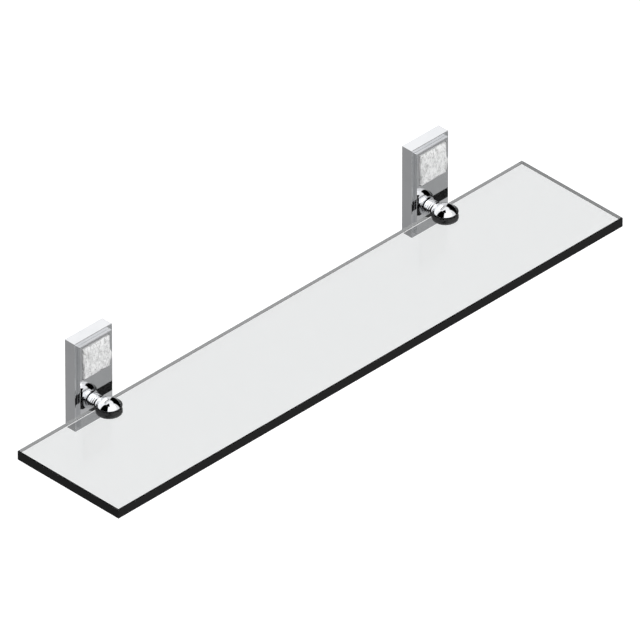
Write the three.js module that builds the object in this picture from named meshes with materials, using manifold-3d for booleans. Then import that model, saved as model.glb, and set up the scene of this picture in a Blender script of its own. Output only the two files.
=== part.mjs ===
// A glass wall shelf on two turned ball brackets, as a three.js scene graph in millimetres.
// Frame: the wall is the plane Y = 0 and the shelf stands out from it towards -Y. X runs along the shelf,
// with X = 0 midway between the brackets, Z points up and Z = 0 is the top surface of the glass.
// Each bracket is a hollow brass casing that hangs on a steel wall plate. A panel on the casing's front
// carries a square crystal and, on a turned neck, a slotted ball whose two jaws hold the glass.

import * as THREE from "three";
import { mergeVertices } from "three/addons/utils/BufferGeometryUtils.js";
import Module from "manifold-3d";

// Driving dimensions
const GLASS = { length: 600, depth: 120, thickness: 10, arris: 0.6 };
const BRACKET_SPACING = 400;
const CASING = { width: 44, height: 95, depth: 12, wall: 2, top: 63.5 };
const PANEL = { margin: 3.2, thickness: 3 };
const CRYSTAL = { size: 32, margin: 2.8, proud: 3.4, recess: 1.5, edge: 0.7, pad: 0.3, padSize: 26 };
const BALL = { radius: 12.8, toPanel: 15.3 };
const GLASS_TO_PANEL = 7.7;

// Turned neck, from the panel outwards: a collar with a cut line and a falling shoulder, a groove, and the
// narrow collar behind the ball
const BASE_COLLAR = { radius: 7.8, length: 5.4, foot: 0.3, shoulder: 3.2, shoulderTurn: 50 };
const CUT_LINE = { at: 2.3, width: 0.5, depth: 0.3 };
const NECK_GROOVE = { radius: 5.6, length: 0.7 };
const CLAMP_COLLAR = { radius: 8.5, length: 1.1, bevel: 0.3 };
const SPIGOT = { radius: 4, fromWall: 4 };

// Linings of the slot, and the screw that presses the glass against the upper jaw
const FILM = { thickness: 0.4, radius: 11.3 };
const LOWER_PAD = { thickness: 1.8, radius: 11.4 };
const SLOT_CLEARANCE = 0.3;
const CLAMP_SCREW = { radius: 2, length: 4.6, key: 2.2, keyDepth: 1.6, hole: 2.15 };

// Fixings inside the casing
const WASHER = { radius: 7.2, thickness: 1 };
const NUT = { acrossFlats: 13, thickness: 4 };
const WALL_PLATE = { width: 34, height: 76, thickness: 2, lip: 6.5, lipWidth: 16, slot: 5.2, slotLength: 9 };
const WALL_SLOTS_FROM_MIDDLE = [26, -4];
const CASING_SCREW = { radius: 2, fromWall: 4.25, above: 0.2, key: 2.2, keyDepth: 2 };
const PANEL_SCREW = { radius: 1.5, head: 2.8, headThickness: 1.7, key: 2, keyDepth: 1 };
const PANEL_SCREW_BITES = [0.7, 2.2];
const PANEL_SCREWS_FROM_MIDDLE = [36.5, -34.5];
const THREAD_GAP = 0.1;
const TOUCHING_GAP = 0.1;
const RUNNING_GAP = 0.3;
const CIRCLE = 48;
const SMALL_CIRCLE = 24;

// How far a cutting tool runs past the face that it cuts through
const PAST = 1;

const casingBottom = CASING.top - CASING.height;
const casingMiddle = CASING.top - CASING.height / 2;
const axisHeight = -GLASS.thickness / 2;
const panelBack = -CASING.depth;
const panelFront = panelBack - PANEL.thickness;
const panelWidth = CASING.width - 2 * PANEL.margin;
const panelHeight = CASING.height - 2 * PANEL.margin;
const glassBack = panelFront - GLASS_TO_PANEL;
const ballCentre = panelFront - BALL.toPanel;
const casingInside = -(CASING.depth - CASING.wall);
const crystalMiddle = CASING.top - PANEL.margin - CRYSTAL.margin - CRYSTAL.size / 2;
const panelScrewHeights = PANEL_SCREWS_FROM_MIDDLE.map((offset) => casingMiddle + offset);
const slotBottom = -GLASS.thickness - LOWER_PAD.thickness;

const wasm = await Module();
wasm.setup();

const polishedChrome = () =>
  new THREE.MeshStandardMaterial({ color: 0xc9cbcd, roughness: 0.06, metalness: 1 });
const zincSteel = () =>
  new THREE.MeshStandardMaterial({ color: 0xa7a9a8, roughness: 0.38, metalness: 1 });
const clearGlass = () =>
  new THREE.MeshStandardMaterial({
    color: 0xe6eceb, roughness: 0.03, metalness: 0, transparent: true, opacity: 0.35,
  });
const frostedCrystal = () =>
  new THREE.MeshStandardMaterial({ color: 0xe9e9ea, roughness: 0.42, metalness: 0 });
const darkRubber = () =>
  new THREE.MeshStandardMaterial({ color: 0x2b2d2e, roughness: 0.7, metalness: 0 });
const clearFilm = () =>
  new THREE.MeshStandardMaterial({ color: 0xd9dcdc, roughness: 0.3, metalness: 0 });

// Booleans

function solidFrom(geometry) {
  const bare = new THREE.BufferGeometry().setAttribute("position", geometry.getAttribute("position"));
  if (geometry.index) bare.setIndex(geometry.index);
  const merged = mergeVertices(bare, 1e-4);
  return new wasm.Manifold(
    new wasm.Mesh({
      numProp: 3,
      vertProperties: merged.attributes.position.array,
      triVerts: new Uint32Array(merged.index.array),
    }),
  );
}

function geometryFrom(solid) {
  const mesh = solid.getMesh();
  const geometry = new THREE.BufferGeometry();
  geometry.setAttribute("position", new THREE.BufferAttribute(mesh.vertProperties, 3));
  geometry.setIndex(new THREE.BufferAttribute(mesh.triVerts, 1));
  geometry.computeVertexNormals();
  return geometry;
}

function cut(base, ...tools) {
  return geometryFrom(tools.reduce((left, tool) => left.subtract(solidFrom(tool)), solidFrom(base)));
}

function join(base, ...others) {
  return geometryFrom(others.reduce((whole, other) => whole.add(solidFrom(other)), solidFrom(base)));
}

function intersect(a, b) {
  return geometryFrom(solidFrom(a).intersect(solidFrom(b)));
}

// Shapes, all in a bracket's own frame: X across, Y towards the wall, Z up

function block(width, depth, height, x, y, z) {
  return new THREE.BoxGeometry(width, depth, height).translate(x, y, z);
}

// A solid of revolution about a line along -Y. The profile's points are [radius, distance along the line].
function turned(profile, y, z, segments = CIRCLE) {
  const points = profile.map(([radius, along]) => new THREE.Vector2(radius, along));
  return new THREE.LatheGeometry(points, segments).rotateX(Math.PI).translate(0, y, z);
}

function rodAlongY(radius, from, to, z, segments = CIRCLE) {
  const length = Math.abs(to - from);
  return new THREE.CylinderGeometry(radius, radius, length, segments).translate(0, (from + to) / 2, z);
}

function rodAlongZ(radius, from, to, y, segments = CIRCLE) {
  const length = Math.abs(to - from);
  return new THREE.CylinderGeometry(radius, radius, length, segments)
    .rotateX(Math.PI / 2)
    .translate(0, y, (from + to) / 2);
}

// A prism of a regular hexagon, as a nut or a key socket, with its axis along Y or along Z
function hexagonAlongY(acrossFlats, from, to, z) {
  return rodAlongY(acrossFlats / Math.sqrt(3), from, to, z, 6);
}

function hexagonAlongZ(acrossFlats, from, to, y) {
  return rodAlongZ(acrossFlats / Math.sqrt(3), from, to, y, 6);
}

// The wall screw's slotted hole, with round ends, through a plate that lies in the XZ plane
function slottedHole(width, length, z) {
  const reach = (length - width) / 2;
  const outline = new THREE.Shape();
  outline.absarc(0, reach, width / 2, 0, Math.PI);
  outline.absarc(0, -reach, width / 2, Math.PI, 2 * Math.PI);
  const depth = 3 * WALL_PLATE.thickness;
  return new THREE.ExtrudeGeometry(outline, { depth, bevelEnabled: false, curveSegments: 12 })
    .rotateX(Math.PI / 2)
    .translate(0, depth / 2, z);
}

// Pieces of a bracket

function casingShape() {
  const outside = block(CASING.width, CASING.depth, CASING.height, 0, -CASING.depth / 2, casingMiddle);
  const hollow = block(
    CASING.width - 2 * CASING.wall,
    CASING.depth,
    CASING.height - 2 * CASING.wall,
    0,
    casingInside + CASING.depth / 2,
    casingMiddle,
  );
  const [from, to] = [panelBack - PAST, casingInside + PAST];
  const spigotHole = rodAlongY(SPIGOT.radius + RUNNING_GAP, from, to, axisHeight);
  const screwHoles = panelScrewHeights.map((z) =>
    rodAlongY(PANEL_SCREW.radius + RUNNING_GAP, from, to, z, SMALL_CIRCLE),
  );
  const bottomHole = rodAlongZ(
    CASING_SCREW.radius + RUNNING_GAP,
    casingBottom - PAST,
    casingBottom + CASING.wall + PAST,
    -CASING_SCREW.fromWall,
    SMALL_CIRCLE,
  );
  return cut(outside, hollow, spigotHole, ...screwHoles, bottomHole);
}

function panelShape() {
  const slab = block(
    panelWidth, PANEL.thickness, panelHeight, 0, (panelBack + panelFront) / 2, casingMiddle,
  );
  const recess = block(
    CRYSTAL.size + RUNNING_GAP,
    2 * CRYSTAL.recess,
    CRYSTAL.size + RUNNING_GAP,
    0,
    panelFront,
    crystalMiddle,
  );
  const spigotHole = rodAlongY(
    SPIGOT.radius + RUNNING_GAP, panelFront - PAST, panelBack + PAST, axisHeight,
  );
  const screwHoles = panelScrewHeights.map((z, i) => {
    const bottom = panelBack - PANEL_SCREW_BITES[i] - RUNNING_GAP;
    return rodAlongY(PANEL_SCREW.radius + THREAD_GAP, bottom, panelBack + PAST, z, SMALL_CIRCLE);
  });
  return cut(slab, recess, spigotHole, ...screwHoles);
}

// A square tile of cut crystal with rounded edges, glued into the panel's recess
function crystalShape() {
  const back = panelFront + CRYSTAL.recess - CRYSTAL.pad;
  const straight = CRYSTAL.recess - CRYSTAL.pad + CRYSTAL.proud - 2 * CRYSTAL.edge;
  const half = CRYSTAL.size / 2 - CRYSTAL.edge;
  const outline = new THREE.Shape()
    .moveTo(-half, -half).lineTo(half, -half).lineTo(half, half).lineTo(-half, half).closePath();
  return new THREE.ExtrudeGeometry(outline, {
    depth: straight,
    bevelThickness: CRYSTAL.edge,
    bevelSize: CRYSTAL.edge,
    bevelSegments: 2,
    steps: 1,
  })
    .rotateX(Math.PI / 2)
    .translate(0, back - CRYSTAL.edge, crystalMiddle);
}

function crystalPadShape() {
  const middle = panelFront + CRYSTAL.recess - CRYSTAL.pad / 2;
  return block(CRYSTAL.padSize, CRYSTAL.pad, CRYSTAL.padSize, 0, middle, crystalMiddle);
}

function baseCollarShape() {
  const { radius, length, foot, shoulder } = BASE_COLLAR;
  const bore = SPIGOT.radius + RUNNING_GAP;
  const lastTurn = THREE.MathUtils.degToRad(BASE_COLLAR.shoulderTurn);
  const shoulderStart = length - shoulder * Math.sin(lastTurn);
  const profile = [
    [bore, 0],
    [radius - foot, 0],
    [radius, foot],
    [radius, CUT_LINE.at],
    [radius - CUT_LINE.depth, CUT_LINE.at + CUT_LINE.width / 2],
    [radius, CUT_LINE.at + CUT_LINE.width],
  ];
  const steps = 6;
  for (let i = 0; i <= steps; i++) {
    const turn = (i / steps) * lastTurn;
    profile.push([radius - shoulder * (1 - Math.cos(turn)), shoulderStart + shoulder * Math.sin(turn)]);
  }
  profile.push([NECK_GROOVE.radius, length], [NECK_GROOVE.radius, length + NECK_GROOVE.length]);
  profile.push([bore, length + NECK_GROOVE.length], [bore, 0]);
  return turned(profile, panelFront, axisHeight);
}

// Ball, collar and threaded spigot turned from one bar, then slotted for the glass
function ballClampShape() {
  const { radius, length, bevel } = CLAMP_COLLAR;
  const start = BASE_COLLAR.length + NECK_GROOVE.length;
  const end = start + length;
  const spigotEnd = panelFront + SPIGOT.fromWall;
  const profile = [
    [0, spigotEnd],
    [SPIGOT.radius, spigotEnd],
    [SPIGOT.radius, start],
    [radius - bevel, start],
    [radius, start + bevel],
    [radius, end - bevel],
    [radius - bevel, end],
  ];
  const firstAngle = Math.acos((end - BALL.toPanel) / BALL.radius);
  const steps = 22;
  for (let i = 0; i <= steps; i++) {
    const angle = firstAngle * (1 - i / steps);
    profile.push([
      i === steps ? 0 : BALL.radius * Math.sin(angle),
      BALL.toPanel + BALL.radius * Math.cos(angle),
    ]);
  }
  const ball = turned(profile, panelFront, axisHeight);
  const slotTop = FILM.thickness;
  const slotEnd = glassBack + SLOT_CLEARANCE;
  const slot = block(
    4 * BALL.radius,
    4 * BALL.radius,
    slotTop - slotBottom,
    0,
    slotEnd - 2 * BALL.radius,
    (slotTop + slotBottom) / 2,
  );
  const screwHole = rodAlongZ(
    CLAMP_SCREW.hole, axisHeight - BALL.radius - PAST, slotBottom + PAST, ballCentre, SMALL_CIRCLE,
  );
  return cut(ball, slot, screwHole);
}

// A lining of the slot: a round layer on the ball's upright line, cut straight behind the glass
function liningShape(radius, top, bottom) {
  const disc = rodAlongZ(radius, bottom, top, ballCentre);
  const end = glassBack + TOUCHING_GAP;
  const layer = block(
    4 * radius, 4 * radius, 2 * (top - bottom), 0, end - 2 * radius, (top + bottom) / 2,
  );
  return intersect(disc, layer);
}

function clampScrewShape() {
  const top = slotBottom - TOUCHING_GAP;
  const foot = top - CLAMP_SCREW.length;
  const body = rodAlongZ(CLAMP_SCREW.radius, foot, top, ballCentre, SMALL_CIRCLE);
  const socket = hexagonAlongZ(CLAMP_SCREW.key, foot - PAST, foot + CLAMP_SCREW.keyDepth, ballCentre);
  return cut(body, socket);
}

function washerShape() {
  const ring = rodAlongY(WASHER.radius, casingInside, casingInside + WASHER.thickness, axisHeight);
  const hole = rodAlongY(
    SPIGOT.radius + RUNNING_GAP, casingInside - PAST, casingInside + WASHER.thickness + PAST, axisHeight,
  );
  return cut(ring, hole);
}

function nutShape() {
  const from = casingInside + WASHER.thickness;
  const to = from + NUT.thickness;
  const hole = rodAlongY(SPIGOT.radius + THREAD_GAP, from - PAST, to + PAST, axisHeight);
  return cut(hexagonAlongY(NUT.acrossFlats, from, to, axisHeight), hole);
}

// Steel plate screwed to the wall, with a lip at each end that the casing hangs and locks on
function wallPlateShape() {
  const { width, height, thickness, lip, lipWidth } = WALL_PLATE;
  const plate = block(width, thickness, height, 0, -thickness / 2, casingMiddle);
  const reach = height / 2 - thickness / 2;
  const lips = [1, -1].map((side) =>
    block(lipWidth, lip, thickness, 0, -lip / 2, casingMiddle + side * reach),
  );
  const slots = WALL_SLOTS_FROM_MIDDLE.map((offset) =>
    slottedHole(WALL_PLATE.slot, WALL_PLATE.slotLength, casingMiddle + offset),
  );
  return cut(join(plate, ...lips), ...slots);
}

function casingScrewShape() {
  const y = -CASING_SCREW.fromWall;
  const foot = casingBottom + CASING_SCREW.above;
  const top = casingMiddle - WALL_PLATE.height / 2 - TOUCHING_GAP;
  const body = rodAlongZ(CASING_SCREW.radius, foot, top, y, SMALL_CIRCLE);
  const socket = hexagonAlongZ(CASING_SCREW.key, foot - PAST, foot + CASING_SCREW.keyDepth, y);
  return cut(body, socket);
}

function panelScrewShape(z, bite) {
  const { radius, head, headThickness } = PANEL_SCREW;
  const profile = [
    [0, 0],
    [head, 0],
    [head, headThickness],
    [radius, headThickness],
    [radius, headThickness + CASING.wall + bite],
    [0, headThickness + CASING.wall + bite],
  ];
  const headTop = casingInside + headThickness;
  const screw = turned(profile, headTop, z, SMALL_CIRCLE);
  const key = hexagonAlongY(PANEL_SCREW.key, headTop - PANEL_SCREW.keyDepth, headTop + PAST, z);
  return cut(screw, key);
}

function bracket(side, x) {
  const group = new THREE.Group();
  group.position.x = x;
  const add = (name, geometry, material) => {
    const mesh = new THREE.Mesh(geometry, material);
    mesh.name = `${side}_${name}`;
    group.add(mesh);
  };
  add("wall_plate", wallPlateShape(), zincSteel());
  add("casing", casingShape(), polishedChrome());
  add("casing_lock_screw", casingScrewShape(), zincSteel());
  add("front_panel", panelShape(), polishedChrome());
  add("panel_screw_upper", panelScrewShape(panelScrewHeights[0], PANEL_SCREW_BITES[0]), zincSteel());
  add("panel_screw_lower", panelScrewShape(panelScrewHeights[1], PANEL_SCREW_BITES[1]), zincSteel());
  add("crystal_pad", crystalPadShape(), clearFilm());
  add("crystal_tile", crystalShape(), frostedCrystal());
  add("base_collar", baseCollarShape(), polishedChrome());
  add("ball_clamp", ballClampShape(), polishedChrome());
  add("spigot_washer", washerShape(), zincSteel());
  add("spigot_nut", nutShape(), zincSteel());
  add("upper_jaw_film", liningShape(FILM.radius, FILM.thickness, 0), clearFilm());
  add("lower_jaw_pad", liningShape(LOWER_PAD.radius, -GLASS.thickness, slotBottom), darkRubber());
  add("clamp_screw", clampScrewShape(), zincSteel());
  return group;
}

// The glass panel, with its sharp edges taken off by a small arris
function glassShelf() {
  const { length, depth, thickness, arris } = GLASS;
  const halfLength = length / 2 - arris;
  const halfDepth = depth / 2 - arris;
  const outline = new THREE.Shape()
    .moveTo(-halfLength, -halfDepth)
    .lineTo(halfLength, -halfDepth)
    .lineTo(halfLength, halfDepth)
    .lineTo(-halfLength, halfDepth)
    .closePath();
  const geometry = new THREE.ExtrudeGeometry(outline, {
    depth: thickness - 2 * arris,
    bevelThickness: arris,
    bevelSize: arris,
    bevelSegments: 1,
  });
  const mesh = new THREE.Mesh(geometry, clearGlass());
  mesh.name = "glass_shelf";
  mesh.position.set(0, glassBack - depth / 2, -thickness + arris);
  return mesh;
}

const shelf = new THREE.Group();
shelf.add(glassShelf());
shelf.add(bracket("left", -BRACKET_SPACING / 2));
shelf.add(bracket("right", BRACKET_SPACING / 2));

export default shelf;
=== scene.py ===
import math

import bmesh
import bpy
from mathutils import Matrix, Vector, noise


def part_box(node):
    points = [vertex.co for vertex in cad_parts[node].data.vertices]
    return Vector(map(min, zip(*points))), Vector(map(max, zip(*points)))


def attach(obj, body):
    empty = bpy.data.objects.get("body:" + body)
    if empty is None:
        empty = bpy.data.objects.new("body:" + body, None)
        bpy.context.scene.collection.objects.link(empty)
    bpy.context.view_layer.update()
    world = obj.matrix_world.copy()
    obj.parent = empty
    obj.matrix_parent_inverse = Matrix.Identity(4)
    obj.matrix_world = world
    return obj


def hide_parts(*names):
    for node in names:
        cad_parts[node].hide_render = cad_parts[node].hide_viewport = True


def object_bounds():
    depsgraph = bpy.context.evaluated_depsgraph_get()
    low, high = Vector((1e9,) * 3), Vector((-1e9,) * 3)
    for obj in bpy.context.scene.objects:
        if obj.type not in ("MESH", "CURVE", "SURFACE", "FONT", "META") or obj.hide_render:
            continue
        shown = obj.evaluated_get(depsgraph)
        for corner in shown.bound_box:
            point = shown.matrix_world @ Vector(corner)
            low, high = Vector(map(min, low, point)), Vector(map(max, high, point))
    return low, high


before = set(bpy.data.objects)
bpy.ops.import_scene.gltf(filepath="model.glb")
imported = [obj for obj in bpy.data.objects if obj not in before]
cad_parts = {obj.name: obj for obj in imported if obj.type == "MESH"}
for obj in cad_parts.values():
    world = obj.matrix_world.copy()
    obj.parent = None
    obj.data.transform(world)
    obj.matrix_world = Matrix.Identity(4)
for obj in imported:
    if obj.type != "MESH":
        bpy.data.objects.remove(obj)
cad_low, cad_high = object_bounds()


# Camera. A very long lens a long way off looks down on the shelf from the front left, so the glass edges,
# the brackets and the uprights stay parallel, as in a measured drawing.
LENS = 1400
SENSOR = 36
PICTURE_HEIGHT = 0.5396
AIM = Vector((0.01161, -0.06853, 0))
LOOK = Vector((1, 1, -1)).normalized()
CLIP = (1, 100)

camera_data = bpy.data.cameras.new("camera")
camera_data.lens = LENS
camera_data.sensor_width = SENSOR
camera_data.clip_start, camera_data.clip_end = CLIP
camera = bpy.data.objects.new("camera", camera_data)
bpy.context.scene.collection.objects.link(camera)
camera.location = AIM - LOOK * (PICTURE_HEIGHT * LENS / SENSOR)
camera.rotation_mode = "QUATERNION"
camera.rotation_quaternion = LOOK.to_track_quat("-Z", "Y")
bpy.context.scene.camera = camera
bpy.context.scene.view_settings.view_transform = "Standard"


# Studio. A pale light table lies well below the shelf. A bright sky dome with a dim lower half and three
# black flags gives the chrome its contrast, and one softbox hangs above and in front.
class Amount:
    """One socket of a node tree. Sums of amounts add the Math nodes that work them out."""

    def __init__(self, recipe, socket):
        self.recipe = recipe
        self.socket = socket

    def other(self, name):
        """Another output of the same node."""
        return Amount(self.recipe, self.socket.node.outputs[name])

    def worked(self, operation, *values):
        return self.recipe.node("ShaderNodeMath", {"operation": operation}, dict(enumerate(values)))

    def __add__(self, value):
        return self.worked("ADD", self, value)

    def __sub__(self, value):
        return self.worked("SUBTRACT", self, value)

    def __rsub__(self, value):
        return self.worked("SUBTRACT", value, self)

    def __mul__(self, value):
        return self.worked("MULTIPLY", self, value)

    def __truediv__(self, value):
        return self.worked("DIVIDE", self, value)

    def __lt__(self, value):
        return self.worked("LESS_THAN", self, value)

    def __gt__(self, value):
        return self.worked("GREATER_THAN", self, value)

    def __abs__(self):
        return self.worked("ABSOLUTE", self)

    __radd__ = __add__
    __rmul__ = __mul__


class Recipe:
    """The nodes of one finish, one light or one shape."""

    def __init__(self, tree):
        self.tree = tree

    def node(self, kind, settings=None, sockets=None, output=0):
        """Adds a node: its settings first, then the values or links of its sockets."""
        made = self.tree.nodes.new(kind)
        for name, value in (settings or {}).items():
            setattr(made, name, value)
        for name, value in (sockets or {}).items():
            if isinstance(value, Amount):
                self.tree.links.new(value.socket, made.inputs[name])
            else:
                made.inputs[name].default_value = value
        return Amount(self, made.outputs[output]) if made.outputs else None

    def ramp(self, value, low, high, start=0.0, end=1.0):
        """Goes smoothly from start to end while value goes from low to high."""
        return self.node(
            "ShaderNodeMapRange",
            {"interpolation_type": "SMOOTHSTEP"},
            {"Value": value, "From Min": low, "From Max": high, "To Min": start, "To Max": end},
        )

    def blend(self, factor, colour, other):
        """One colour where factor is 0 and the other where it is 1."""
        return self.node(
            "ShaderNodeMix", {"data_type": "RGBA"}, {0: factor, 6: colour, 7: other}, output=2
        )


SKY = 1.0
SKY_TINT = (0.985, 0.99, 1, 1)
BACKDROP = 1.2
HORIZON = (-0.12, 0.03)
UNDERSIDE = (0.30, 0.43)
FRONT_GLOW = {"strength": 0.22, "reach": (0, -0.5)}
RIGHT_SHADE = {"strength": 0.2, "reach": (0.95, 1.15)}
FIRST_AZIMUTH = math.radians(-90)
FLAG_EDGE = math.radians(4)
FLAGS = (
    {"azimuth": (-31, 38), "elevation": (-3, 58)},
    {"azimuth": (142, 212), "elevation": (-4, 63)},
    {"azimuth": (158, 238), "elevation": (60, 95)},
)
FLOOR_DROP = 1.2
FLOOR_REACH = 12
FLOOR_GLOW = 0.56


def between(recipe, value, low, high, edge):
    """1 inside a range and 0 outside it, with soft ends."""
    entered = recipe.ramp(value, low - edge, low + edge)
    not_left = recipe.ramp(value, high - edge, high + edge, start=1, end=0)
    return entered * not_left


def sky_dome():
    """The light all round: pale for the eye, and shaded and flagged for the chrome."""
    world = bpy.data.worlds.new("studio")
    world.use_nodes = True
    world.node_tree.nodes.clear()
    recipe = Recipe(world.node_tree)
    direction = recipe.node("ShaderNodeTexCoord", output="Generated")
    x = recipe.node("ShaderNodeSeparateXYZ", {}, {0: direction})
    y = x.other("Y")
    z = x.other("Z")
    elevation = x.worked("ARCSINE", z)
    azimuth = x.worked("ARCTAN2", y, x)
    azimuth = azimuth + (azimuth < FIRST_AZIMUTH) * math.tau
    dim = recipe.ramp(x - y, -1, 1, *UNDERSIDE)
    upper = recipe.ramp(z, *HORIZON)
    glow = recipe.ramp(x + y, *FRONT_GLOW["reach"]) * FRONT_GLOW["strength"]
    shade = recipe.ramp(x - y, *RIGHT_SHADE["reach"]) * RIGHT_SHADE["strength"]
    bright = dim + (SKY + glow - shade - dim) * upper
    for flag in FLAGS:
        wide = between(recipe, azimuth, *map(math.radians, flag["azimuth"]), FLAG_EDGE)
        tall = between(recipe, elevation, *map(math.radians, flag["elevation"]), FLAG_EDGE)
        bright = bright * (1 - wide * tall)
    path = recipe.node("ShaderNodeLightPath", output="Is Camera Ray")
    through = path.other("Is Transmission Ray") * (path.other("Glossy Depth") < 0.5)
    plain = path.worked("MAXIMUM", path, through)
    strength = bright + (BACKDROP - bright) * plain
    sky = recipe.node("ShaderNodeBackground", {}, {"Color": SKY_TINT, "Strength": strength})
    recipe.node("ShaderNodeOutputWorld", {}, {"Surface": sky})
    bpy.context.scene.world = world


def light_table():
    """A plain pale floor, seen from above only, which no mirror shows."""
    mesh = bpy.data.meshes.new("floor")
    corners = [(-1, -1), (1, -1), (1, 1), (-1, 1)]
    level = cad_low.z - FLOOR_DROP
    places = [(FLOOR_REACH * x, FLOOR_REACH * y, level) for x, y in corners]
    mesh.from_pydata(places, [], [(0, 1, 2, 3)])
    floor = bpy.data.objects.new("floor", mesh)
    bpy.context.scene.collection.objects.link(floor)
    material = bpy.data.materials.new("pale floor")
    material.use_nodes = True
    material.node_tree.nodes.clear()
    recipe = Recipe(material.node_tree)
    pale = recipe.node(
        "ShaderNodeBsdfPrincipled",
        {},
        {
            "Base Color": (0.86, 0.86, 0.86, 1),
            "Roughness": 0.9,
            "Specular IOR Level": 0.0,
            "Emission Color": (1, 1, 1, 1),
            "Emission Strength": FLOOR_GLOW,
        },
    )
    hidden = recipe.node("ShaderNodeBsdfTransparent")
    mirrored = recipe.node("ShaderNodeLightPath", output="Glossy Depth") > 0.5
    below = recipe.node("ShaderNodeNewGeometry", output="Backfacing")
    unseen = mirrored.worked("MAXIMUM", mirrored, below)
    shown = recipe.node("ShaderNodeMixShader", {}, {0: unseen, 1: pale, 2: hidden})
    recipe.node("ShaderNodeOutputMaterial", {}, {"Surface": shown})
    mesh.materials.append(material)


def softbox(place, width, height, radiance):
    """A flat lamp of that radiance, turned towards the shelf."""
    data = bpy.data.lights.new("softbox", "AREA")
    data.shape = "RECTANGLE"
    data.size = width
    data.size_y = height
    data.energy = math.pi * width * height * radiance
    lamp = bpy.data.objects.new("softbox", data)
    bpy.context.scene.collection.objects.link(lamp)
    lamp.location = place
    lamp.rotation_mode = "QUATERNION"
    lamp.rotation_quaternion = (AIM - Vector(place)).to_track_quat("-Z", "Y")


sky_dome()
light_table()
softbox(place=(0.1, -2.6, 2.0), width=2.2, height=1.3, radiance=1.6)


# Wall plates. Two folded plates of 2 mm zinc-plated steel, screwed to the wall through their slots. The
# casings hang on their upper lips. They are pressed from sheet, so their edges are only a little rounded.
SIDES = ("left", "right")
PLATE_ROUND = 0.0003
SAME_POINT = 1e-6
FLAT_TURN = math.radians(1)
EDGE_TURN = math.radians(40)


def finish(name, fixed, varied, volume=None):
    """A material from the shader's fixed sockets and a function that works out its varied ones."""
    material = bpy.data.materials.new(name)
    material.use_nodes = True
    material.node_tree.nodes.clear()
    recipe = Recipe(material.node_tree)
    place = recipe.node("ShaderNodeTexCoord", output="Object")
    shader = recipe.node("ShaderNodeBsdfPrincipled", {}, {**fixed, **varied(recipe, place)})
    ends = {"Surface": shader}
    if volume:
        ends["Volume"] = recipe.node("ShaderNodeVolumeAbsorption", {}, volume)
    recipe.node("ShaderNodeOutputMaterial", {}, ends)
    return material


def mottle(recipe, place, scale, detail=3, roughness=0.5, swirl=0.0):
    """Cloudy noise from 0 to 1, with a scale in spots for each metre."""
    return recipe.node(
        "ShaderNodeTexNoise",
        {},
        {"Vector": place, "Scale": scale, "Detail": detail, "Roughness": roughness, "Distortion": swirl},
    )


def relief(recipe, height, distance, strength):
    """A normal from a bump of that height in metres."""
    return recipe.node(
        "ShaderNodeBump", {}, {"Height": height, "Distance": distance, "Strength": strength}
    )


def plated_zinc():
    def varied(recipe, place):
        flowers = recipe.node("ShaderNodeTexVoronoi", {}, {"Vector": place, "Scale": 420}, output="Color")
        grain = recipe.node("ShaderNodeSeparateColor", {}, {0: flowers})
        cloud = mottle(recipe, place, scale=70)
        shade = grain * 0.45 + cloud * 0.55
        return {
            "Base Color": recipe.blend(shade, (0.42, 0.43, 0.44, 1), (0.66, 0.67, 0.66, 1)),
            "Roughness": 0.26 + shade * 0.22,
            "Normal": relief(recipe, mottle(recipe, place, scale=1800), distance=0.00003, strength=0.5),
        }

    return finish("zinc plated steel", {"Metallic": 1.0}, varied)


def piece_from(name, shape, material):
    """A new object at the origin from a bmesh, which is used up."""
    mesh = bpy.data.meshes.new(name)
    shape.to_mesh(mesh)
    shape.free()
    mesh.materials.clear()
    mesh.materials.append(material)
    piece = bpy.data.objects.new(name, mesh)
    bpy.context.scene.collection.objects.link(piece)
    return piece


def softened(node, name, radius, material, steps=3):
    """A copy of a CAD node with whole faces and rounded edges."""
    shape = bmesh.new()
    shape.from_mesh(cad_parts[node].data)
    bmesh.ops.remove_doubles(shape, verts=shape.verts[:], dist=SAME_POINT)
    bmesh.ops.dissolve_limit(shape, angle_limit=FLAT_TURN, verts=shape.verts[:], edges=shape.edges[:])
    piece = piece_from(name, shape, material)
    rounded = piece.modifiers.new("rounded edges", "BEVEL")
    rounded.width = radius
    rounded.segments = steps
    rounded.limit_method = "ANGLE"
    rounded.angle_limit = EDGE_TURN
    rounded.use_clamp_overlap = False
    piece.data.shade_smooth()
    flat = piece.modifiers.new("flat faces", "WEIGHTED_NORMAL")
    flat.keep_sharp = True
    return piece


def fitted(piece, slot, *nodes):
    """The piece stands for those CAD nodes, which it hides, and rides on the shelf. The slot is not used.
    """
    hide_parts(*nodes)
    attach(piece, "root")


zinc = plated_zinc()
for side in SIDES:
    plate = softened(f"{side}_wall_plate", f"{side}_folded_wall_plate", PLATE_ROUND, zinc)
    fitted(plate, "zinc_steel", f"{side}_wall_plate")


# Casings. Shallow brass boxes with 2 mm walls, open towards the wall, polished and chromed. They are
# squared up by hand and polished, which leaves a fine round on every edge.
CASING_ROUND = 0.0005


def polished_chrome():
    def varied(recipe, place):
        wiped = recipe.ramp(mottle(recipe, place, scale=55, detail=2), low=0.42, high=0.72)
        fine = mottle(recipe, place, scale=900, detail=2)
        return {
            "Base Color": recipe.blend(wiped * fine, (0.90, 0.905, 0.915, 1), (0.84, 0.85, 0.865, 1)),
            "Roughness": 0.012 + wiped * fine * 0.05,
        }

    return finish("polished chrome", {"Metallic": 1.0}, varied)


chrome = polished_chrome()
for side in SIDES:
    casing = softened(f"{side}_casing", f"{side}_chromed_casing", CASING_ROUND, chrome)
    fitted(casing, "chrome", f"{side}_casing")


# Front panels. Brass plates 3 mm thick, let in from the casing's edges all round and screwed on from
# behind. They are chromed with the casings, and carry the crystal's recess.
PANEL_ROUND = 0.00025

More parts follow.
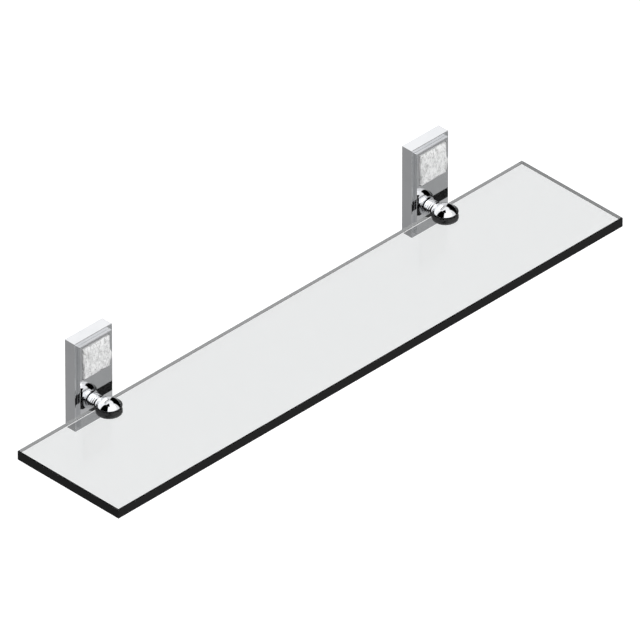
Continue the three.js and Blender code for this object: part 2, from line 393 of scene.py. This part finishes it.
for side in SIDES:
    panel = softened(f"{side}_front_panel", f"{side}_mirror_panel", PANEL_ROUND, chrome)
    fitted(panel, "chrome", f"{side}_front_panel")


# Grub screws. Zinc-plated socket screws with a rolled thread. The one under each ball presses the pad
# against the glass, and the one under each casing locks it on its wall plate.
THREAD_STEPS = 6
SCREW_SIDES = 36
SCREW_TURNS_AHEAD = 10
THREAD_SHARE = 0.6
CHAMFER_SHARE = 0.15
SCREW_PITCH = 0.0007
KEY_REACH = 0.0011
DOWN = (math.pi, 0, 0)


def shade_by_angle(piece, angle=35):
    """Smooth shading that breaks at edges sharper than an angle in degrees."""
    piece.data.shade_smooth()
    piece.data.set_sharp_from_angle(angle=math.radians(angle))


def plain_mesh(piece):
    """Turns what the modifiers make of a piece into its own mesh, and takes them off."""
    graph = bpy.context.evaluated_depsgraph_get()
    mesh = bpy.data.meshes.new_from_object(piece.evaluated_get(graph))
    piece.modifiers.clear()
    piece.data = mesh
    return piece


def shape_tree(name, sizes):
    """A Geometry Nodes tree with a geometry input and named inputs for its sizes."""
    tree = bpy.data.node_groups.new(name, "GeometryNodeTree")
    tree.interface.new_socket("Geometry", in_out="OUTPUT", socket_type="NodeSocketGeometry")
    for label, kind in {"Geometry": "NodeSocketGeometry", **sizes, "Finish": "NodeSocketMaterial"}.items():
        tree.interface.new_socket(label, in_out="INPUT", socket_type=kind)
    recipe = Recipe(tree)
    given = recipe.node("NodeGroupInput")
    return tree, recipe, given


def finished_tree(recipe, given, geometry):
    """The end of a tree: instances made real and the finish put on."""
    real = recipe.node("GeometryNodeRealizeInstances", {}, {"Geometry": geometry})
    coated = recipe.node(
        "GeometryNodeSetMaterial", {}, {"Geometry": real, "Material": given.other("Finish")}
    )
    recipe.node("NodeGroupOutput", {}, {"Geometry": coated})


def rolled(recipe, rows, columns, radius_and_height):
    """A grid rolled up about the Z axis. The function gives radius and height from row and turn."""
    grid = recipe.node("GeometryNodeMeshGrid", {}, {"Vertices X": rows, "Vertices Y": columns + 1})
    index = recipe.node("GeometryNodeInputIndex")
    row = index.worked("FLOOR", (index + 0.5) / (columns + 1))
    turn = (index - row * (columns + 1)) / columns
    radius, height = radius_and_height(row, turn)
    angle = turn * math.tau
    across = radius * angle.worked("COSINE", angle)
    along = radius * angle.worked("SINE", angle)
    place = recipe.node("ShaderNodeCombineXYZ", {}, {0: across, 1: along, 2: height})
    moved = recipe.node("GeometryNodeSetPosition", {}, {"Geometry": grid, "Position": place})
    return recipe.node("GeometryNodeMergeByDistance", {}, {"Geometry": moved, "Distance": SAME_POINT})


def screw_tree():
    """A socket screw on each point of its input, with its socket towards +Z before it is turned."""
    size = "NodeSocketFloat"
    tree, recipe, given = shape_tree(
        "socket screws",
        {
            "Radius": size, "Length": size, "Pitch": size, "Thread Depth": size, "Chamfer": size,
            "Key": size, "Key Depth": size, "Thread Rows": "NodeSocketInt", "Turn": "NodeSocketVector",
        },
    )
    radius = given.other("Radius")
    length = given.other("Length")
    chamfer = given.other("Chamfer")
    threads = given.other("Thread Rows")

    # Past the thread's rows come the socket's rim, the edge of its floor and the floor's middle. The turns
    # ahead are whole ones, which only keep the thread's phase above zero.
    def outline(row, turn):
        step = row.worked("MINIMUM", row.worked("MAXIMUM", row - 1, 0), threads)
        height = step / threads * length
        wave = row.worked("FRACT", height / given.other("Pitch") - turn + SCREW_TURNS_AHEAD)
        groove = abs(wave * 2 - 1) * given.other("Thread Depth")
        inward = row.worked("MAXIMUM", chamfer - height, chamfer - (length - height))
        threaded = radius - row.worked("MAXIMUM", groove, inward)
        sixth = row.worked("FRACT", turn * 6) - 0.5
        hexagon = given.other("Key") / row.worked("COSINE", sixth * (math.tau / 6))
        rim = row > threads + 1.5
        deep = row > threads + 2.5
        last = row > threads + 3.5
        reach = threaded * (row > 0.5) * (1 - rim) + hexagon * (rim - last)
        return reach, height - deep * given.other("Key Depth")

    form = rolled(recipe, threads + 5, SCREW_SIDES, outline)
    placed = recipe.node(
        "GeometryNodeInstanceOnPoints",
        {},
        {"Points": given.other("Geometry"), "Instance": form, "Rotation": given.other("Turn")},
    )
    finished_tree(recipe, given, placed)
    return tree


def shaped(piece, tree, sizes):
    """Gives the piece the tree's shape. Inputs are set by their sockets' identifiers."""
    modifier = piece.modifiers.new("shape", "NODES")
    modifier.node_group = tree
    for item in tree.interface.items_tree:
        if item.in_out == "INPUT" and item.name in sizes:
            modifier[item.identifier] = sizes[item.name]
    plain_mesh(piece)
    shape = bmesh.new()
    shape.from_mesh(piece.data)
    bmesh.ops.recalc_face_normals(shape, faces=shape.faces[:])
    shape.to_mesh(piece.data)
    shape.free()
    return piece


def screws(name, places, turn, radius, length, pitch, key, key_depth, finish_of):
    """Like screws on the given points, each with its far end on its point."""
    points = bmesh.new()
    for place in places:
        points.verts.new(place)
    piece = piece_from(name, points, finish_of)
    rows = round(length / pitch * THREAD_STEPS)
    sizes = {
        "Radius": radius, "Length": length, "Pitch": pitch, "Thread Depth": THREAD_SHARE * pitch,
        "Chamfer": CHAMFER_SHARE * radius, "Key": key, "Key Depth": key_depth, "Thread Rows": rows,
        "Turn": turn, "Finish": finish_of,
    }
    shaped(piece, screw_shape, sizes)
    shade_by_angle(piece)
    return piece


def grub_screws(kind, key_depth):
    """The upright grub screws of one kind, socket down, in both brackets."""
    nodes = [f"{side}_{kind}" for side in SIDES]
    boxes = [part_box(node) for node in nodes]
    low, high = boxes[0]
    places = [((a.x + b.x) / 2, (a.y + b.y) / 2, b.z) for a, b in boxes]
    piece = screws(
        f"{kind}s", places, DOWN, (high.x - low.x) / 2, high.z - low.z,
        SCREW_PITCH, KEY_REACH, key_depth, zinc,
    )
    fitted(piece, "zinc_steel", *nodes)


screw_shape = screw_tree()
grub_screws("casing_lock_screw", key_depth=0.002)
grub_screws("clamp_screw", key_depth=0.0016)


# Crystals. Square tiles of clear crystal, pressed in relief and frosted with acid. Each is glued on its
# pad in the panel's recess. The relief is a generic one of worn strokes and chips.
CRYSTAL_CELLS = 150
CRYSTAL_WANDER = {"most": 0.0009, "spots": 4.2, "middle": 0.8}
CRYSTAL_LEAN = 0.0009
CRYSTAL_BELLY = {"out": 0.0034, "at": -0.16, "reach": 0.16}
CRYSTAL_SHOULDER = {"left": 0.6, "top": 0.8, "steepness": 9, "roundness": 2.5}
CRYSTAL_RIM = (0.3, 0.7)
CRYSTAL_FACE = (0.45, 0.55)
CRYSTAL_SEAT = 0.00005
STROKE_BEND = {"spots": 3.1, "strength": 0.35, "across": 9, "up": 5}
STROKE_SPOTS = {"across": 9, "up": 4.5}
STROKE_FRACTAL = {"dimension": 0.9, "step": 2.1, "octaves": 4, "offset": 1.0, "gain": 2.0}
CHIP_SPOTS = {"across": 16, "up": 14}
RELIEF_SHARES = {"level": 0.25, "strokes": 0.22, "chips": 0.18}
LAYERS = {"bend": 4.0, "strokes": 1.7, "chips": 9.3, "sides": 2.2, "ends": 5.2}
EDGES = {"right": 0.3, "left": 7.3, "top": 0.6, "bottom": 8.6}


def frosted_crystal():
    def varied(recipe, place):
        leaning = recipe.node(
            "ShaderNodeMapping", {}, {"Vector": place, "Rotation": (0, 0.3, 0), "Scale": (1.5, 1, 0.65)}
        )
        strokes = mottle(recipe, leaning, scale=280, detail=4, roughness=0.6, swirl=1.4)
        vein = mottle(recipe, place, scale=1100)
        shade = recipe.ramp(strokes * 0.72 + vein * 0.28, low=0.36, high=0.55)
        return {
            "Base Color": recipe.blend(shade, (0.52, 0.52, 0.515, 1), (0.97, 0.97, 0.965, 1)),
            "Roughness": 0.28 + shade * 0.3,
            "Normal": relief(recipe, vein + strokes, distance=0.0003, strength=0.7),
        }

    return finish("frosted crystal", {"Coat Weight": 0.35, "Coat Roughness": 0.12}, varied)


def crystal_relief(across, up):
    """Height from 0 to 1 at a place on the tile, in tile widths. Each noise has a layer of its own."""
    spots = STROKE_BEND["spots"]
    bend = noise.noise(Vector((across * spots, up * spots, LAYERS["bend"])))
    bend *= STROKE_BEND["strength"]
    stroke_x = across * STROKE_SPOTS["across"] + bend * STROKE_BEND["across"]
    stroke_z = up * STROKE_SPOTS["up"] + bend * STROKE_BEND["up"]
    stroke_place = Vector((stroke_x, stroke_z, LAYERS["strokes"]))
    strokes = noise.ridged_multi_fractal(stroke_place, *STROKE_FRACTAL.values())
    chip_place = Vector((across * CHIP_SPOTS["across"], up * CHIP_SPOTS["up"], LAYERS["chips"]))
    chips = noise.noise(chip_place)
    shares = RELIEF_SHARES
    return min(1.0, max(0.0, shares["level"] + shares["strokes"] * strokes + shares["chips"] * chips))


def crystal_outline(across, up):
    """How far the tile's edge is drawn in at a place on its outline, in metres across and up."""
    spots = CRYSTAL_WANDER["spots"]
    side_edge = EDGES["right"] if across > 0 else EDGES["left"]
    end_edge = EDGES["top"] if up > 0 else EDGES["bottom"]
    worn_x = noise.noise(Vector((side_edge, up * spots, LAYERS["sides"])))
    worn_z = noise.noise(Vector((across * spots, end_edge, LAYERS["ends"])))
    drawn_x = CRYSTAL_WANDER["most"] * (CRYSTAL_WANDER["middle"] + worn_x)
    drawn_z = CRYSTAL_WANDER["most"] * (CRYSTAL_WANDER["middle"] + worn_z)
    if across < 0:
        drawn_x += CRYSTAL_LEAN * (1 - up)
    else:
        off_belly = (up - CRYSTAL_BELLY["at"]) / CRYSTAL_BELLY["reach"]
        drawn_x -= CRYSTAL_BELLY["out"] * math.exp(-(off_belly ** 2))
    return drawn_x * abs(2 * across) ** 3, drawn_z * abs(2 * up) ** 3


def crystal_surface(across, up):
    """How far the surface stands off the tile's back, as a share of its depth."""
    shoulder = CRYSTAL_SHOULDER
    from_left = (0.5 + across) * shoulder["left"]
    from_top = (0.5 - up) * shoulder["top"]
    edge = min(0.5 - across, from_left, from_top, 0.5 + up)
    rise = 1 - (1 - min(1.0, edge * shoulder["steepness"])) ** shoulder["roundness"]
    face = CRYSTAL_FACE[0] + CRYSTAL_FACE[1] * crystal_relief(across, up)
    return CRYSTAL_RIM[0] + CRYSTAL_RIM[1] * rise * face


def crystal_tile(side):
    """A relief on a grid, with straight walls down to the back of its recess."""
    low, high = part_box(f"{side}_crystal_tile")
    width = high.x - low.x
    height = high.z - low.z
    depth = high.y - low.y
    cells = CRYSTAL_CELLS
    shape = bmesh.new()
    front = {}
    for i in range(cells + 1):
        for j in range(cells + 1):
            across = i / cells - 0.5
            up = j / cells - 0.5
            drawn_x, drawn_z = crystal_outline(across, up)
            x = (low.x + high.x) / 2 + across * (width - 2 * drawn_x)
            z = (low.z + high.z) / 2 + up * (height - 2 * drawn_z)
            y = high.y - depth * crystal_surface(across, up)
            front[i, j] = shape.verts.new((x, y, z))
    for i in range(cells):
        for j in range(cells):
            shape.faces.new((front[i, j], front[i + 1, j], front[i + 1, j + 1], front[i, j + 1]))
    panel_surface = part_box(f"{side}_front_panel")[0].y
    for level in (panel_surface - CRYSTAL_SEAT, high.y):
        rim = [edge for edge in shape.edges if edge.is_boundary]
        for item in bmesh.ops.extrude_edge_only(shape, edges=rim)["geom"]:
            if isinstance(item, bmesh.types.BMVert):
                item.co = (min(max(item.co.x, low.x), high.x), level, item.co.z)
    back = [edge for edge in shape.edges if edge.is_boundary]
    bmesh.ops.contextual_create(shape, geom=back)
    bmesh.ops.recalc_face_normals(shape, faces=shape.faces[:])
    tile = piece_from(f"{side}_crystal_relief", shape, crystal)
    shade_by_angle(tile, angle=60)
    fitted(tile, "crystal", f"{side}_crystal_tile")


crystal = frosted_crystal()
for side in SIDES:
    crystal_tile(side)


# Collars and ball clamps. Each clamp is one brass turning, a threaded spigot, a collar and a ball,
# milled out for the glass and chromed. A loose collar spaces it off the panel.
TURNED_STEPS = 144
SHOULDER_STEPS = 24
BALL_STEPS = 72
ROUND_STEPS = 4
TURNED_EDGE = 30
COLLAR = {"foot": 0.0003, "shoulder": 0.0032, "turn": math.radians(50), "round": 0.0001}
CUT_LINE = {"at": 0.0023, "width": 0.0005, "depth": 0.0003}
NECK_GROOVE = {"radius": 0.0056, "length": 0.0007}
CLAMP_COLLAR = {"radius": 0.0085, "length": 0.0011, "round": 0.0003}
SPIGOT_RADIUS = 0.004
SPIGOT_PITCH = 0.00125
SPIGOT_THREAD_SHARE = 0.4
SPIGOT_THREAD_STEPS = 8
SPIGOT_TURNS_AHEAD = 100
SPIGOT_CHAMFER = {"in": 0.0005, "length": 0.0003}
PLAIN_END = 0.0001
SLOT_SPARE = 0.0003
SLOT_OVERRUN = 0.01
SCREW_HOLE = {"spare": 0.00015, "below": 0.005, "into_slot": 0.001}
ROD_SIDES = 64


def turning_tree():
    """Turns its input, a wire of points (radius, distance), about a line along Y."""
    tree, recipe, given = shape_tree(
        "turned brass",
        {"Steps": "NodeSocketInt", "Middle": "NodeSocketVector", "Pitch": "NodeSocketFloat",
         "Thread Depth": "NodeSocketFloat"},
    )
    wire = given.other("Geometry")
    steps = given.other("Steps")
    rows = recipe.node("GeometryNodeAttributeDomainSize", {}, {"Geometry": wire})
    position = recipe.node("GeometryNodeInputPosition")
    thread = recipe.node("GeometryNodeInputNamedAttribute", {"data_type": "FLOAT"}, {"Name": "thread"})

    def sampled(kind, value, row):
        return recipe.node(
            "GeometryNodeSampleIndex", {"data_type": kind}, {"Geometry": wire, "Value": value, "Index": row}
        )

    def outline(row, turn):
        radius = recipe.node("ShaderNodeSeparateXYZ", {}, {0: sampled("FLOAT_VECTOR", position, row)})
        along = radius.other("Y")
        wave = row.worked("FRACT", along / given.other("Pitch") + turn + SPIGOT_TURNS_AHEAD)
        groove = abs(wave * 2 - 1) * given.other("Thread Depth") * sampled("FLOAT", thread, row)
        return radius - groove, along

    form = rolled(recipe, rows, steps, outline)
    placed = recipe.node(
        "GeometryNodeTransform",
        {},
        {"Geometry": form, "Rotation": (-math.pi / 2, 0, 0), "Translation": given.other("Middle")},
    )
    finished_tree(recipe, given, placed)
    return tree


def turned(name, profile, middle, threaded=()):
    """Turns a profile of (radius, y) points about the line along Y through middle."""
    wire = bmesh.new()
    thread = wire.verts.layers.float.new("thread")
    verts = [wire.verts.new((radius, along, 0)) for radius, along in profile]
    for vert, (radius, along) in zip(verts, profile):
        vert[thread] = 1.0 if threaded and threaded[0] <= along <= threaded[1] and radius else 0.0
    for a, b in zip(verts, verts[1:]):
        wire.edges.new((a, b))
    piece = piece_from(name, wire, chrome)
    sizes = {
        "Steps": TURNED_STEPS, "Middle": middle, "Pitch": SPIGOT_PITCH,
        "Thread Depth": SPIGOT_THREAD_SHARE * SPIGOT_PITCH, "Finish": chrome,
    }
    return shaped(piece, turning, sizes)


def arc(radius, middle, start, end, steps):
    """Points (radius, y) of an arc about (middle radius, middle y), angles from the +radius side."""
    return [
        (
            max(0.0, middle[0] + radius * math.cos(start + (end - start) * i / steps)),
            middle[1] + radius * math.sin(start + (end - start) * i / steps),
        )
        for i in range(steps + 1)
    ]


def base_collar(side):
    """The loose collar: a chamfered foot, a fine cut line, a falling shoulder and a groove."""
    node = f"{side}_base_collar"
    low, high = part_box(node)
    middle = ((low.x + high.x) / 2, 0, (low.z + high.z) / 2)
    radius = (high.x - low.x) / 2
    bore = SPIGOT_RADIUS + SLOT_SPARE
    groove = NECK_GROOVE["radius"]
    shoulder = COLLAR["shoulder"]
    end = low.y + NECK_GROOVE["length"]
    start = end + shoulder * math.sin(COLLAR["turn"])
    line = high.y - CUT_LINE["at"]
    half = CUT_LINE["width"] / 2
    soft = COLLAR["round"]
    foot = COLLAR["foot"]
    profile = [(bore, low.y), (groove, low.y), (groove, end)]
    profile += arc(shoulder, (radius - shoulder, start), -COLLAR["turn"], 0, SHOULDER_STEPS)
    profile += [(radius, line - 2 * half - soft), (radius - soft / 2, line - 2 * half)]
    profile += [(radius - CUT_LINE["depth"], line - half)]
    profile += [(radius - soft / 2, line), (radius, line + soft)]
    profile += arc(foot, (radius - foot, high.y - foot), 0, math.pi / 2, ROUND_STEPS)
    profile += [(bore, high.y), (bore, low.y)]
    collar = turned(f"{side}_turned_collar", profile, middle)
    shade_by_angle(collar, TURNED_EDGE)
    fitted(collar, "chrome", node)


def cut_away(piece, *cutters):
    """Cuts closed forms out of a piece."""
    for cutter in cutters:
        cut = piece.modifiers.new("cut", "BOOLEAN")
        cut.operation = "DIFFERENCE"
        cut.solver = "EXACT"
        cut.object = cutter
    plain_mesh(piece)
    for cutter in cutters:
        bpy.data.objects.remove(cutter)


def block(low, high):
    """A box between two corners, for cutting."""
    shape = bmesh.new()
    size = Vector(high) - Vector(low)
    middle = (Vector(high) + Vector(low)) / 2
    bmesh.ops.create_cube(shape, size=1, matrix=Matrix.LocRotScale(middle, None, size))
    return piece_from("cutter", shape, chrome)


def rod(radius, low, high):
    """An upright rod between two points, one over the other, for cutting."""
    shape = bmesh.new()
    middle = (Vector(low) + Vector(high)) / 2
    bmesh.ops.create_cone(
        shape, cap_ends=True, segments=ROD_SIDES, radius1=radius, radius2=radius,
        depth=high[2] - low[2], matrix=Matrix.Translation(middle),
    )
    return piece_from("cutter", shape, chrome)


def ball_clamp(side):
    """The spigot, collar and ball in one turning, slotted for the glass and drilled for the grub screw."""
    node = f"{side}_ball_clamp"
    low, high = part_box(node)
    radius = (high.x - low.x) / 2
    middle = ((low.x + high.x) / 2, 0, (low.z + high.z) / 2)
    centre = low.y + radius
    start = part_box(f"{side}_base_collar")[0].y
    end = start - CLAMP_COLLAR["length"]
    collar = CLAMP_COLLAR["radius"]
    bevel = CLAMP_COLLAR["round"]
    quarter = math.pi / 2
    wall_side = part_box(f"{side}_casing")[0].y
    spigot_steps = round((high.y - wall_side) / SPIGOT_PITCH * SPIGOT_THREAD_STEPS)
    chamfer = SPIGOT_CHAMFER["length"]
    profile = [(0, high.y), (SPIGOT_RADIUS - SPIGOT_CHAMFER["in"], high.y)]
    for i in range(spigot_steps + 1):
        along = high.y - chamfer - (high.y - wall_side - chamfer) * i / spigot_steps
        profile.append((SPIGOT_RADIUS, along))
    profile += [(SPIGOT_RADIUS, start)]
    profile += arc(bevel, (collar - bevel, start - bevel), quarter, 0, ROUND_STEPS)
    profile += arc(bevel, (collar - bevel, end + bevel), 0, -quarter, ROUND_STEPS)
    meet = math.asin((end - centre) / radius)
    profile += arc(radius, (0, centre), meet, -quarter, BALL_STEPS)
    profile[-1] = (0, low.y)
    threaded = (wall_side, high.y - PLAIN_END)
    ball = turned(f"{side}_turned_ball_clamp", profile, middle, threaded)
    slot_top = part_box(f"{side}_upper_jaw_film")[1].z
    slot_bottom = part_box(f"{side}_lower_jaw_pad")[0].z
    slot_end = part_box("glass_shelf")[1].y + SLOT_SPARE
    screw_low, screw_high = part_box(f"{side}_clamp_screw")
    screw_middle = (screw_low + screw_high) / 2
    hole = (screw_high.x - screw_low.x) / 2 + SCREW_HOLE["spare"]
    slot = block(
        (low.x - SLOT_OVERRUN, low.y - SLOT_OVERRUN, slot_bottom),
        (high.x + SLOT_OVERRUN, slot_end, slot_top),
    )
    screw_hole = rod(
        hole,
        (screw_middle.x, screw_middle.y, low.z - SCREW_HOLE["below"]),
        (screw_middle.x, screw_middle.y, slot_bottom + SCREW_HOLE["into_slot"]),
    )
    cut_away(ball, slot, screw_hole)
    shade_by_angle(ball, TURNED_EDGE)
    fitted(ball, "chrome", node)


turning = turning_tree()
for side in SIDES:
    base_collar(side)
    ball_clamp(side)


# Spigot washers, spigot nuts and panel screws. Standard zinc-plated parts, all behind the panel. The nut
# draws the clamp, the collar, the panel and the casing together, and two headed screws hold the panel.
HARDWARE = {
    "spigot_washer": {"name": "pressed_washer", "round": 0.00015},
    "spigot_nut": {"name": "hexagon_nut", "round": 0.0004},
    "panel_screw_upper": {"name": "panel_socket_screw_upper", "round": 0.00015},
    "panel_screw_lower": {"name": "panel_socket_screw_lower", "round": 0.00015},
}

for side in SIDES:
    for node, kind in HARDWARE.items():
        fastener = softened(f"{side}_{node}", f"{side}_{kind['name']}", kind["round"], zinc, steps=2)
        fitted(fastener, "zinc_steel", f"{side}_{node}")


# Jaw linings and crystal pads. A thin clear film keeps the upper jaw off the glass, and a dark rubber pad
# lies between the glass and the lower jaw. Each crystal is stuck in its recess with a clear adhesive pad.
def dark_rubber():
    def varied(recipe, place):
        grain = mottle(recipe, place, scale=1500)
        return {
            "Base Color": recipe.blend(grain, (0.012, 0.013, 0.013, 1), (0.05, 0.052, 0.052, 1)),
            "Roughness": 0.5 + grain * 0.3,
            "Normal": relief(recipe, grain, distance=0.00004, strength=0.6),
        }

    return finish("dark rubber", {}, varied)


def clear_film():
    def varied(recipe, place):
        haze = mottle(recipe, place, scale=600, detail=2)
        return {
            "Base Color": recipe.blend(haze, (0.72, 0.73, 0.73, 1), (0.86, 0.87, 0.87, 1)),
            "Roughness": 0.18 + haze * 0.14,
        }

    return finish("clear film", {"Transmission Weight": 1.0, "IOR": 1.45}, varied)


rubber = dark_rubber()
film = clear_film()
for side in SIDES:
    for node, slot_name, material in (
        ("upper_jaw_film", "clear_film", film),
        ("lower_jaw_pad", "dark_rubber", rubber),
        ("crystal_pad", "clear_film", film),
    ):
        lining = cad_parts[f"{side}_{node}"]
        lining.material_slots[0].material = material


# Glass shelf. Clear float glass 10 mm thick, with its edges ground, polished and taken off by a fine
# arris. Its green-grey body tint shows most where the eye looks in through an edge. The upright edge
# faces are also painted near-black, a painted shade for the dark look through the edges.
GLASS_TINT = {"Color": (0.31, 0.33, 0.325, 1), "Density": 44.0}
# Faces steeper than this get the painted edge shade.
UPRIGHT_FACE = 0.35


def float_glass():
    def varied(recipe, place):
        facing = recipe.node("ShaderNodeNewGeometry", output="Normal")
        upright = recipe.node("ShaderNodeSeparateXYZ", {}, {0: facing}).other("Z")
        # The upright edge faces get a near-black base colour with a faint mottle: painted shade, standing
        # in for the darkness seen in through the glass's edges.
        edge = abs(upright) < UPRIGHT_FACE
        ground = mottle(recipe, place, scale=240)
        dark = recipe.blend(ground, (0.02, 0.022, 0.022, 1), (0.06, 0.065, 0.064, 1))
        return {"Base Color": recipe.blend(edge, (1, 1, 1, 1), dark)}

    return finish(
        "float glass",
        {
            "Transmission Weight": 1.0,
            "Roughness": 0.0,
            "IOR": 1.5,
            "Specular Tint": (0.4, 0.4, 0.4, 1),
        },
        varied,
        GLASS_TINT,
    )


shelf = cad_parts["glass_shelf"]
shelf.material_slots[0].material = float_glass()
